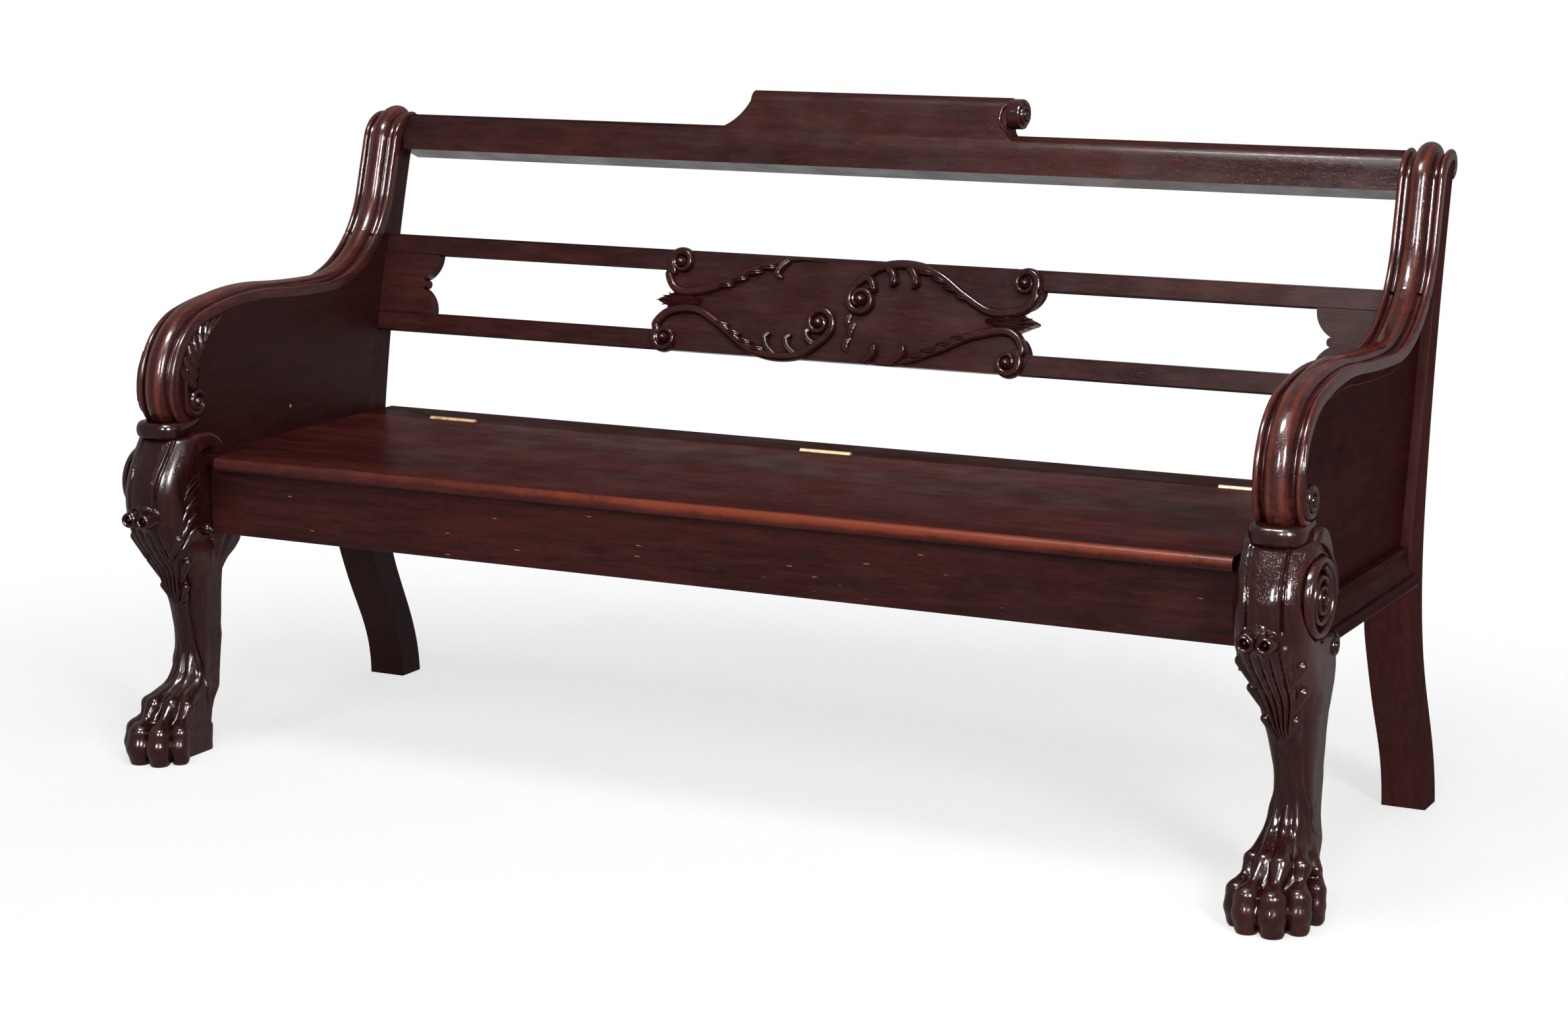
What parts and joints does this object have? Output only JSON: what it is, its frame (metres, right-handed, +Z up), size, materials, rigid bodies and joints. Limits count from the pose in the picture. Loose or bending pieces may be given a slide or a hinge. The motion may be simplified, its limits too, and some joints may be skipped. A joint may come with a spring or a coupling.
{
  "type": "hall bench",
  "caption": "Long wooden hall bench with reeded scroll arms, paw-footed front legs, an open carved back and a hinged seat over a storage well.",
  "frame": {"origin": "on the floor, below the middle of the bench's bounding box", "axes": "+X along the bench to the right as seen from the front, +Y from the front to the back, +Z up"},
  "size_m": [1.81, 0.7173, 0.961],
  "materials": {
    "mahogany": "dark red-brown polish, worn redder along the edges",
    "carved_mahogany": "dark polish over carving, worn on the high spots",
    "inner_wood": "plain, unpolished",
    "hinge_brass": "dull, tarnished",
    "screw_steel": "dull"
  },
  "bodies": {
    "frame": {"front_leg_left": "carved_mahogany", "front_leg_right": "carved_mahogany", "leg_collar_left": "carved_mahogany", "leg_collar_right": "carved_mahogany", "rear_leg_left": "mahogany", "rear_leg_right": "mahogany", "side_panel_left": "mahogany", "side_panel_right": "mahogany", "arm_moulding_left": "mahogany", "arm_moulding_right": "mahogany", "arm_cove_left": "mahogany", "arm_cove_right": "mahogany", "upright_moulding_left": "mahogany", "upright_moulding_right": "mahogany", "side_rail_left": "mahogany", "side_rail_right": "mahogany", "lid_bearer_left": "inner_wood", "lid_bearer_right": "inner_wood", "upper_back_rail_left": "mahogany", "upper_back_rail_right": "mahogany", "lower_back_rail_left": "mahogany", "lower_back_rail_right": "mahogany", "bracket_upper_left": "mahogany", "bracket_upper_right": "mahogany", "bracket_lower_left": "mahogany", "bracket_lower_right": "mahogany", "splat_scroll_left": "carved_mahogany", "splat_scroll_right": "carved_mahogany", "front_apron": "mahogany", "back_rail": "mahogany", "seat_strip": "mahogany", "splat_panel": "mahogany", "crest_rail": "mahogany", "tablet_volute": "carved_mahogany", "ledger_strips": "inner_wood", "bottom_boards": "inner_wood", "corner_blocks": "inner_wood", "hinge_leaves_fixed": "hinge_brass", "hinge_pins": "hinge_brass", "fixed_leaf_screws": "screw_steel"},
    "lid": {"seat_lid": "mahogany", "lid_battens": "inner_wood", "batten_screws": "screw_steel", "hinge_leaves_lid": "hinge_brass", "lid_leaf_screws": "screw_steel"}
  },
  "joints": [
    {"name": "lid_hinge", "type": "hinge", "parent": "frame", "child": "lid", "pos_m": [0, 0.178, 0.447], "axis": [-1, 0, 0], "range_deg": [0, 100]}
  ]
}
